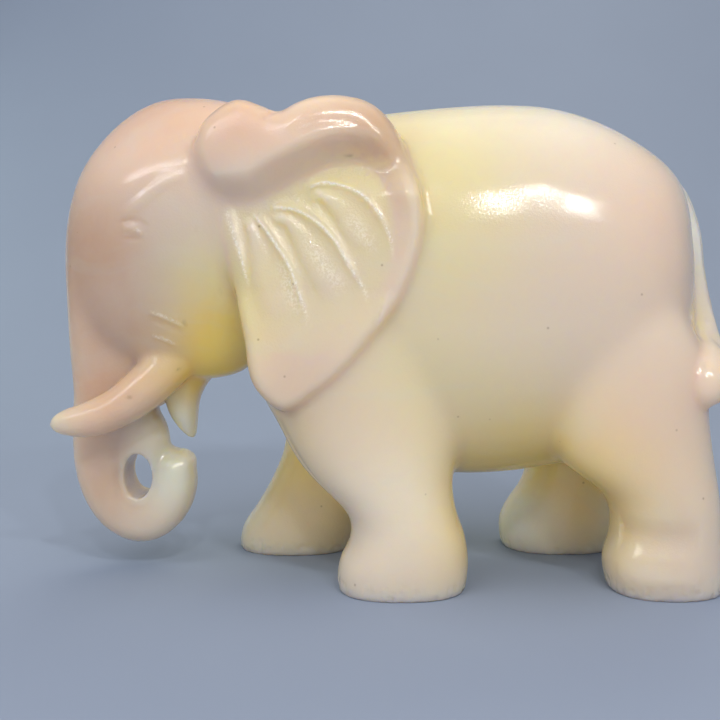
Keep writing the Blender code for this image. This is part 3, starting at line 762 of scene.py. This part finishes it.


# Tint spots, for the stone's tones and for painted light and shade: x, distance from the middle
# plane, z, reach and strength
TINTS = {
    "peach": [
        (-44, 8, 97, 18, 0.8), (-57, 8, 88, 14, 0.7), (-27, 24, 91, 13, 0.6),
        (-6, 26, 93, 13, 0.35), (4, 28, 80, 10, 0.4), (-60, 13, 34, 9, 0.6),
        (-50, 11, 40, 9, 0.6), (58, 24, 72, 16, 0.5), (62, 23, 41, 6, 0.6),
        (50, 24, 86, 12, 0.3), (48, 26, 30, 16, 0.5), (4, 28, 24, 10, 0.35)],
    # ash: grey painted shade on the cheek, the lower ear, the roll's top, the rim and the feet
    "ash": [
        (-44, 20, 64, 12, 0.5), (-40, 20, 74, 10, 0.4), (3, 27, 90, 8, 0.5), (-56, 8, 12, 9, 0.35),
        (-15, 27, 44, 11, 0.4), (4, 26, 82, 6, 0.6), (2, 28, 8, 12, 0.2), (55, 28, 8, 16, 0.4)],
    # tan, mostly painted shade: darker brown on the face, trunk, tusks, crown, round the rolled rim
    # and on the feet
    "tan": [
        (-62, 12, 62, 14, 0.85), (-61, 12, 72, 10, 0.7), (-56, 20, 70, 7, 0.55),
        (-42, 12, 44, 8, 0.7), (-28, 27, 80, 8, 0.25), (-12, 28, 88, 8, 0.3), (2, 27, 91, 9, 0.95),
        (-44, 10, 97, 14, 0.4), (-27, 24, 93, 8, 0.4), (-56, 13, 36, 7, 0.4),
        (-60, 9, 42, 12, 0.8), (-58, 8, 20, 10, 0.8), (-50, 18, 52, 8, 0.5),
        (-14, 20, 36, 8, 0.5), (-28, 20, 8, 12, 0.4)],
    # honey behind the ears, in the fan and on the back: the stone's yellow, partly painted glow
    "honey": [
        (10, 26, 84, 15, 0.75), (12, 28, 66, 12, 0.6), (6, 28, 46, 12, 0.5),
        (-12, 27, 76, 9, 0.6), (-18, 27, 64, 8, 0.4), (12, 8, 97, 20, 0.7), (20, 28, 34, 18, 0.4),
        (-34, 20, 62, 9, 0.6), (-16, 20, 32, 7, 0.4)],
    # ochre in the throat and under the chest and belly: deep yellow with painted glow of light
    # through the stone
    "ochre": [
        (-32, 16, 52, 10, 0.9), (-38, 8, 42, 9, 0.8), (22, 17, 20, 16, 0.85),
        (42, 18, 22, 13, 0.85), (-37, 12, 36, 5, 0.6), (-10, 4, 30, 16, 0.8),
        (2, 14, 22, 10, 0.6)],
    # milk on the curl's web and the mouth: painted glow of light through the thin stone there
    "milk": [(-46, 5, 21, 8.5, 0.95), (-43, 5, 31, 5, 0.8), (-52, 7, 34, 6, 0.4)],
    # pearl: pale painted light on the back, the tail, under the rolled rim and on the legs
    "pearl": [
        (2, 26, 20, 13, 0.5), (50, 26, 20, 12, 0.15), (-12, 27, 83, 8, 0.15),
        (-27, 26, 80, 7, 0.3), (61, 5, 72, 11, 0.9), (38, 10, 96, 15, 0.75),
        (16, 12, 98, 14, 0.4)],
}

# On the right side alone: legs that light from behind reaches through the stone
FAR_TINTS = {
    "tan": [(-20, 20, 8, 12, 0.6)],
    "honey": [(-20, 22, 20, 22, 0.8), (44, 22, 22, 24, 0.7)],
    "ochre": [(-12, 18, 24, 14, 0.8), (48, 18, 28, 16, 0.8)],
    "milk": [(-33, 22, 8, 9, 0.7)],
    "pearl": [(29, 9, 8, 8, 1.0), (-26, 14, 5, 6, 0.5)],
}

# Less polished spots: the tusks, the ear's front lobe, the back of the roll and the curl's tip
DULL = [(-62, 16, 32, 8, 0.9), (-54, 15, 38, 8, 0.9), (-28, 25, 90, 9, 1.0), (4, 25, 86, 3, 0.8),
        (10, 26, 76, 4, 0.9), (-44, 6, 22, 8, 0.8)]

# Small dark nicks on the left side: x, height, half length and half height
MARKS = [
    (-36.4, 72.2, 0.8, 0.22), (-51.5, 38.7, 0.6, 0.35), (-6.3, 85.5, 0.5, 0.25),
    (-39.7, 53.4, 0.35, 0.3), (-42, 44, 0.4, 0.3), (-32.3, 60.1, 0.3, 0.3), (-67, 27.5, 0.4, 0.9)]
LEFTWARDS = -0.2  # they lie where the surface faces the left side at least this much

# The fan's grain: how far inside its edges it is full, how far from its root it fades, and, in
# metres, how far from the middle plane it begins
FAN_FADE = 2
FAN_GRAIN = (42, 24)
OUTER_FROM = 0.016
FLOOR_SPAN = (0.1, 0.6)  # rib heights over which the painted yellow glow of the fan's floor fades
RIM_HONEY = 0.15  # share of the yellow and its painted glow that the ear's rim keeps
RIM_PEACH = 0.33  # least peach on the rim

# Rays from each point: how many, and, in metres, how far they go and how far off the surface they
# start;
# stone of the first thickness takes the full painted glow of light through it, of the second hardly
# any
RAYS = 12
RAY_REACH = 0.014
RAY_LIFT = 0.0004
THIN_STONE = (0.004, 0.014)
CLOSED_SPAN = (0.08, 0.7)  # closed shares of the outlook over which a fold's painted glow comes in
GLOW_FROM = (-50, -42)  # over these x, as no glow is painted on the face


def spot_shares(points, spots, far_spots=()):
    """How much of something each point takes, from its spots on both sides and on the right."""
    spare = np.ones(len(points))
    for rows, beside in ((spots, np.abs(points[:, 1])), (far_spots, points[:, 1])):
        for x, y, z, reach, strength in rows:
            gap = (points[:, 0] - x) ** 2 + (beside - y) ** 2 + (points[:, 2] - z) ** 2
            spare *= 1 - strength * np.exp(-gap / reach ** 2)
    return 1 - spare


def shelter(mesh, points, normals):
    """How much of each point's outlook the figure itself closes, and the stone's thickness."""
    tree = BVHTree.FromPolygons(
        [Vector(p) for p in points], [tuple(face.vertices) for face in mesh.polygons])
    turn = np.arange(RAYS) * math.pi * (3 - math.sqrt(5))
    up = 1 - (np.arange(RAYS) + 0.5) / RAYS
    flat = np.sqrt(1 - up * up)
    bundle = np.column_stack((np.cos(turn) * flat, np.sin(turn) * flat, up))
    closed = np.zeros(len(points))
    thick = np.full(len(points), RAY_REACH)
    for i, (point, normal) in enumerate(zip(points, normals)):
        start = Vector(point + normal * RAY_LIFT)
        quat = Vector((0, 0, 1)).rotation_difference(Vector(normal))
        for ray in bundle:
            if tree.ray_cast(start, quat @ Vector(ray), RAY_REACH)[0] is not None:
                closed[i] += 1 / RAYS
        hit = tree.ray_cast(Vector(point - normal * RAY_LIFT), Vector(-normal), RAY_REACH)
        if hit[0] is not None:
            thick[i] = hit[3]
    return closed, thick


def fan_shares(points, ear):
    """Over the side view: 1 on the carved fan, on its floor and where glints are painted along its
    crests and lines, else 0.
    """
    fan, floor, crest = np.zeros((3, len(points)))
    near = within(points, *FAN_BOX)
    view = points[near]
    gap, _, side = from_line(view, ear.fold)
    root = np.hypot(view[:, 0] - FAN_ROOT[0], view[:, 1] - FAN_ROOT[1])
    fan[near] = (eased(-side * gap, 0, FAN_FADE) * eased(ear.inside(view), 0, FAN_FADE)
                 * eased(root, *FAN_GRAIN))
    height = np.max([ear.rib_height(view, line) for line in RIBS], axis=0)
    # The floor between the ribs takes a painted yellow glow
    floor[near] = fan[near] * (1 - eased(height, *FLOOR_SPAN))
    # Painted glints: thin lines of painted highlight along the ribs' crests
    for line in RIBS:
        gap, along, _ = from_line(view, smooth(line, LINE_STEPS))
        crest[near] = np.maximum(crest[near], np.exp(-(gap / CREST_LINE) ** 2)
                                 * eased(along, 0, CREST_ENDS[0]) * eased(along, 1, CREST_ENDS[1]))
    for strength, half, line in GLINT_LINES:
        near = round_line(points, line, 2)
        gap, along, _ = from_line(points[near], smooth(line, LINE_STEPS // 2))
        crest[near] = np.maximum(crest[near], strength * np.exp(-(gap / half) ** 2)
                                 * np.sin(math.pi * along) ** 0.5)
    return fan, floor, crest


def ear_share(points, ear):
    """1 on an ear's outer face and 0 off it."""
    share = np.zeros(len(points))
    near = within(points[:, (0, 2)], *EAR_BOX)
    view = points[near][:, (0, 2)]
    behind = ear.surface(view) - np.abs(points[near, 1])
    share[near] = eased(ear.inside(view), *EAR_SHOWN) * eased(behind, EAR_SKIN, EAR_SKIN / 2)
    return share


def mark_tints(mesh, sizes):
    """Keeps on the mesh, by name, where the tints lie, the folded and thin places that take painted
    glow, the painted glints and the dull places.
    """
    share = sizes.height / 100
    points = read_vectors(mesh.vertices, "co")
    normals = read_vectors(mesh.vertex_normals, "vector")
    view = points[:, (0, 2)] / share
    ear = Ear(sizes)
    outer = (np.abs(points[:, 1]) > OUTER_FROM) & (points[:, 1] * normals[:, 1] > 0)
    fan, floor, crest = (values * outer for values in fan_shares(view, ear))
    rim = ear_share(points / share, ear) * (1 - fan)
    closed, thick = shelter(mesh, points, normals)
    nicks = [np.exp(-((view[:, 0] - x) / half) ** 2 - ((view[:, 1] - z) / tall) ** 2)
             for x, z, half, tall in MARKS]
    masks = {name: spot_shares(points / share, spots, FAR_TINTS.get(name, ()))
             for name, spots in TINTS.items()}
    masks["honey"] *= 1 - (1 - RIM_HONEY) * rim
    masks["peach"] = np.maximum(masks["peach"], RIM_PEACH * rim)
    masks.update(
        fan=fan, floor=floor, crest=crest, thin=1 - eased(thick, *THIN_STONE),
        sheltered=eased(closed, *CLOSED_SPAN) * eased(view[:, 0], *GLOW_FROM),
        dull=spot_shares(points / share, DULL),
        nicks=np.max(nicks, axis=0) * (normals[:, 1] < LEFTWARDS))
    for name, values in masks.items():
        layer = mesh.attributes.new(name, "FLOAT", "POINT")
        layer.data.foreach_set("value", np.clip(values, 0, 1))


def feed(tree, node, inputs):
    """Sets a node's inputs to numbers or colours, or links them to other sockets."""
    for name, value in inputs.items():
        if isinstance(value, bpy.types.NodeSocket):
            tree.links.new(value, node.inputs[name])
        else:
            node.inputs[name].default_value = value


def add_node(tree, kind, inputs=None, **settings):
    """Adds a node with its own settings and its inputs."""
    node = tree.nodes.new(kind)
    for name, value in settings.items():
        setattr(node, name, value)
    feed(tree, node, inputs or {})
    return node


def mask(tree, name):
    """The number that the mesh keeps by a name."""
    return add_node(tree, "ShaderNodeAttribute", attribute_name=name).outputs["Fac"]


def scaled(tree, value, factor, extra=0.0, **settings):
    """A number times another, plus a third."""
    return add_node(tree, "ShaderNodeMath", {0: value, 1: factor, 2: extra},
                    operation="MULTIPLY_ADD", **settings).outputs[0]


def ranged(tree, value, start, end, low, high):
    """A number that runs from low to high while the value runs from start to end."""
    return add_node(tree, "ShaderNodeMapRange", {
        "Value": value, "From Min": start, "From Max": end, "To Min": low,
        "To Max": high}).outputs["Result"]


def mixed(tree, share, colour, other):
    """A colour with a share of another mixed in."""
    return add_node(tree, "ShaderNodeMix", {0: share, 6: colour, 7: other},
                    data_type="RGBA").outputs[2]


def noisy(tree, place, breadth, **inputs):
    """Noise in three dimensions, with clouds about this broad."""
    return add_node(tree, "ShaderNodeTexNoise", {
        "Vector": place, "Scale": 1 / breadth, **inputs}).outputs["Fac"]


def new_material(name):
    """A material, its tree with the shader and the output joined, and its object coordinates."""
    material = bpy.data.materials.new(name)
    material.use_nodes = True
    tree = material.node_tree
    tree.nodes.clear()
    shader = add_node(tree, "ShaderNodeBsdfPrincipled")
    add_node(tree, "ShaderNodeOutputMaterial", {"Surface": shader.outputs["BSDF"]})
    return material, tree, shader, add_node(tree, "ShaderNodeTexCoord").outputs["Object"]


def polished_jade(tints):
    """Pale jade, carved and waxed to a polish.

    Light goes a few millimetres into the stone, so edges glow and shadows stay soft. The
    polish leaves fine grain in the highlights. Clouds 20 to 30 mm wide drift through it. Glow
    in folds and thin stone, shade and glints are painted into its colour as well.
    """
    material, tree, shader, place = new_material("polished_pale_jade")
    cloud = noisy(tree, place, 0.024, Detail=4.0, Roughness=0.55, Distortion=0.4)
    drift = ranged(tree, cloud, 0.3, 0.7, 0.75, 1.2)
    colour = tints.cream
    for name in TINTS:
        share = scaled(tree, mask(tree, name), drift, use_clamp=True)
        colour = mixed(tree, share, colour, getattr(tints, name))
    # Painted light: glow in closed folds, paler milk where the stone is thin as if lit through it,
    # and yellow on the fan's floor for light through its hollows
    for name, most, other in (("sheltered", 0.6, tints.glow), ("thin", 0.3, tints.milk),
                              ("floor", 0.3, tints.honey)):
        colour = mixed(tree, scaled(tree, mask(tree, name), most), colour, other)

    # Fainter, paler veins drawn out along the body, about 1 mm wide and 15 mm apart
    stretched = add_node(tree, "ShaderNodeMapping", {
        "Vector": place, "Scale": (22, 22, 60), "Rotation": (0, 0.14, 0)}).outputs["Vector"]
    vein = noisy(tree, stretched, 1.0, Detail=3.0, Distortion=1.2)
    colour = mixed(tree, ranged(tree, vein, 0.56, 0.66, 0.0, 0.12), colour, tints.milk)

    # Painted glints: grains of 0.7 mm along the crests, the folds' edges, the eyelid and the fan's
    # pads
    grain = noisy(tree, place, 0.0007, Detail=2.0, Roughness=0.7)
    glint_share = scaled(tree, mask(tree, "crest"), ranged(tree, grain, 0.45, 0.58, 0.05, 0.85))
    colour = mixed(tree, glint_share, colour, tints.painted_glint)

    # Dark specks half a millimetre to one across, some 11 mm apart, and the nicks
    pore = add_node(tree, "ShaderNodeTexVoronoi", {
        "Vector": place, "Scale": 1 / 0.011}).outputs["Distance"]
    speck = ranged(tree, pore, 0.015, 0.045, 0.45, 0.0)
    dark = scaled(tree, mask(tree, "nicks"), 0.5, speck)
    colour = mixed(tree, dark, colour, tints.grime)

    # The polish waves over 5 mm, is duller in places, and is grainy on the fan
    wave = noisy(tree, place, 0.005, Detail=2.0)
    rough = scaled(tree, mask(tree, "dull"), 0.1, ranged(tree, wave, 0.3, 0.7, 0.10, 0.16))
    soft = add_node(tree, "ShaderNodeBump", {
        "Height": wave, "Strength": 0.25, "Distance": 0.00015}).outputs["Normal"]
    coarse = ranged(tree, mask(tree, "fan"), 0.0, 1.0, 0.27, 0.75)
    fine = add_node(tree, "ShaderNodeBump", {
        "Height": grain, "Strength": coarse, "Distance": 0.00018,
        "Normal": soft}).outputs["Normal"]
    feed(tree, shader, {
        "Base Color": colour, "Roughness": rough, "Normal": fine, "IOR": 1.61,
        "Subsurface Weight": 1.0, "Subsurface Radius": (1.0, 0.82, 0.42),
        "Subsurface Scale": 0.012})
    return material


class OBJECT_OT_carve_jade_elephant(bpy.types.Operator):
    """Carve the elephant from one block of jade and polish it"""
    bl_idname = "object.carve_jade_elephant"
    bl_label = "Carve Jade Elephant"

    def execute(self, context):
        sizes, tints = context.scene.elephant_sizes, context.scene.elephant_tints
        mesh = carve_figure(sizes)
        mark_tints(mesh, sizes)
        mesh.name = PIECE
        mesh.materials.clear()
        mesh.materials.append(polished_jade(tints))
        mesh.shade_smooth()
        piece = placed(PIECE, mesh)
        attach(piece, "root")
        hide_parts(NODE)
        return {"FINISHED"}


def painted_board(look):
    """Matt painted board, which shows no gloss and a very faint unevenness of the roller."""
    material, tree, shader, place = new_material("matt_painted_board")
    mottle = noisy(tree, place, 0.12, Detail=3.0)
    paler = tuple(min(1.0, c * 1.06) for c in look.floor[:3]) + (1.0,)
    feed(tree, shader, {"Base Color": mixed(tree, mottle, look.floor, paler), "Roughness": 0.85})
    return material


# Camera: place, focal length on a 36 mm sensor, and how far it turns left, down and rolls
CAMERA_PLACE = (0.003, -0.3425, 0.0941)
CAMERA_LENS = 55
CAMERA_TURN = (1.8, 4.9, 0.66)

# Soft lamps, which the stone doesn't mirror: name, place, length and breadth, power, colour
SOFT_LAMPS = (
    ("softbox", (-0.05, -0.25, 0.95), (0.9, 0.9), "softbox_power", "#FFF1E3"),
    ("rear_softbox", (0.15, 0.75, 0.8), (0.7, 0.7), "rear_power", "#FFF3D6"),
    ("window", (-0.75, 0.55, 0.25), (0.5, 0.4), "window_power", "#F6FFE6"),
    ("low_lamp", (-0.05, -0.6, 0.06), (0.7, 0.1), "low_power", "#FFEEDD"))

# Three small lamps, as azimuth from the camera's side and elevation, in degrees
SPOTS = ((1, 36), (14, 41), (26, 34))
SPOT_DISTANCE = 1.0
SPOT_BREADTH = 0.042
AIM = (0.02, -0.02, 0.09)  # what the lamps face

# A long narrow lamp in front of the head, from one end to the other
STRIP_ENDS = ((-69, 23), (-22, 42))
STRIP_DISTANCE = 1.2
STRIP_BREADTH = 0.03


def add_lamp(name, place, size, power, colour, mirrored=True, along=None):
    """An area lamp facing the figure, round unless it is given the way that its length runs."""
    lamp = bpy.data.lights.new(name, "AREA")
    lamp.shape = "RECTANGLE" if along else "DISK"
    lamp.size, lamp.size_y = size
    lamp.energy, lamp.color = power, linear(colour)[:3]
    back = (Vector(place) - Vector(AIM)).normalized()
    across = Vector(along or (1, 0, 0))
    across = (across - across.dot(back) * back).normalized()
    thing = placed(name, lamp)
    turn = Matrix((across, back.cross(across), back)).transposed()
    thing.matrix_world = Matrix.Translation(place) @ turn.to_4x4()
    thing.visible_camera = False
    thing.visible_glossy = mirrored


def towards(azimuth, elevation, distance):
    """A place round the figure: azimuth from the camera's side, towards its tail, in degrees."""
    a, e = math.radians(azimuth), math.radians(elevation)
    return Vector(AIM) + distance * Vector((math.sin(a) * math.cos(e),
                                            -math.cos(a) * math.cos(e), math.sin(e)))


def swept_floor(look):
    """A floor that rises behind the figure in one sweep."""
    front, far, bend, top, half = -2.0, 0.3, 0.6, 1.6, 2.4
    turn = np.linspace(0, math.pi / 2, 17)
    profile = [(front, 0.0),
               *[(far + bend * math.sin(a), bend * (1 - math.cos(a))) for a in turn],
               (far + bend, top)]
    sheet = bmesh.new()
    rows = [[sheet.verts.new((side * half, y, z)) for side in (-1, 1)] for y, z in profile]
    for (a, b), (c, d) in zip(rows[:-1], rows[1:]):
        sheet.faces.new((a, b, d, c))
    mesh = as_mesh("swept_floor", sheet)
    mesh.materials.append(painted_board(look))
    mesh.shade_smooth()
    placed("swept_floor", mesh)


def add_camera():
    """The camera at the height, distance and angle from which the figure is seen."""
    lens = bpy.data.cameras.new("camera")
    lens.lens, lens.sensor_width = CAMERA_LENS, 36
    lens.clip_start = 0.01
    camera = placed("camera", lens)
    yaw, pitch, roll = (math.radians(a) for a in CAMERA_TURN)
    camera.matrix_world = (
        Matrix.Translation(CAMERA_PLACE) @ Matrix.Rotation(yaw, 4, "Z")
        @ Matrix.Rotation(math.pi / 2 - pitch, 4, "X") @ Matrix.Rotation(-roll, 4, "Z"))
    bpy.context.scene.camera = camera


class SCENE_OT_set_studio(bpy.types.Operator):
    """Set a plain floor, soft light and the camera round the elephant"""
    bl_idname = "scene.set_elephant_studio"
    bl_label = "Set Studio"

    def execute(self, context):
        look = context.scene.elephant_stage
        swept_floor(look)
        add_camera()
        for name, place, size, power, colour in SOFT_LAMPS:
            add_lamp(name, place, size, getattr(look, power), colour, mirrored=False,
                     along=(1, 0, 0))
        left, right = (towards(*end, STRIP_DISTANCE) for end in STRIP_ENDS)
        add_lamp("strip", (left + right) / 2, ((right - left).length, STRIP_BREADTH),
                 look.strip_power, "#F6F8FF", along=right - left)
        for number, (azimuth, elevation) in enumerate(SPOTS):
            add_lamp(f"spot_{number}", towards(azimuth, elevation, SPOT_DISTANCE),
                     (SPOT_BREADTH, SPOT_BREADTH), look.spot_power, "#FFFDF8")
        world = bpy.data.worlds.new("fill")
        world.use_nodes = True
        context.scene.world = world
        feed(world.node_tree, world.node_tree.nodes["Background"],
             {"Color": look.sky, "Strength": look.sky_strength})
        context.scene.view_settings.view_transform = "Standard"
        return {"FINISHED"}


class VIEW3D_PT_jade_elephant(bpy.types.Panel):
    """Sizes, tints and lamps, with a button for each step"""
    bl_label = "Jade Elephant"
    bl_space_type = "VIEW_3D"
    bl_region_type = "UI"
    bl_category = "Elephant"

    def draw(self, context):
        for owner, button in (("elephant_sizes", None),
                              ("elephant_tints", OBJECT_OT_carve_jade_elephant),
                              ("elephant_stage", SCENE_OT_set_studio)):
            group = getattr(context.scene, owner)
            box = self.layout.box()
            for key in group.bl_rna.properties.keys():
                if key not in ("rna_type", "name"):
                    box.prop(group, key)
            if button:
                self.layout.operator(button.bl_idname)


CLASSES = (ElephantSizes, ElephantTints, StageLook, OBJECT_OT_carve_jade_elephant,
           SCENE_OT_set_studio, VIEW3D_PT_jade_elephant)
GROUPS = {"elephant_sizes": ElephantSizes, "elephant_tints": ElephantTints,
          "elephant_stage": StageLook}


def register():
    for part in CLASSES:
        bpy.utils.register_class(part)
    for owner, group in GROUPS.items():
        setattr(bpy.types.Scene, owner, bpy.props.PointerProperty(type=group))


def unregister():
    for owner in GROUPS:
        delattr(bpy.types.Scene, owner)
    for part in reversed(CLASSES):
        bpy.utils.unregister_class(part)


def main():
    register()
    bpy.ops.object.carve_jade_elephant()
    bpy.ops.scene.set_elephant_studio()


if __name__ == "__main__":
    main()
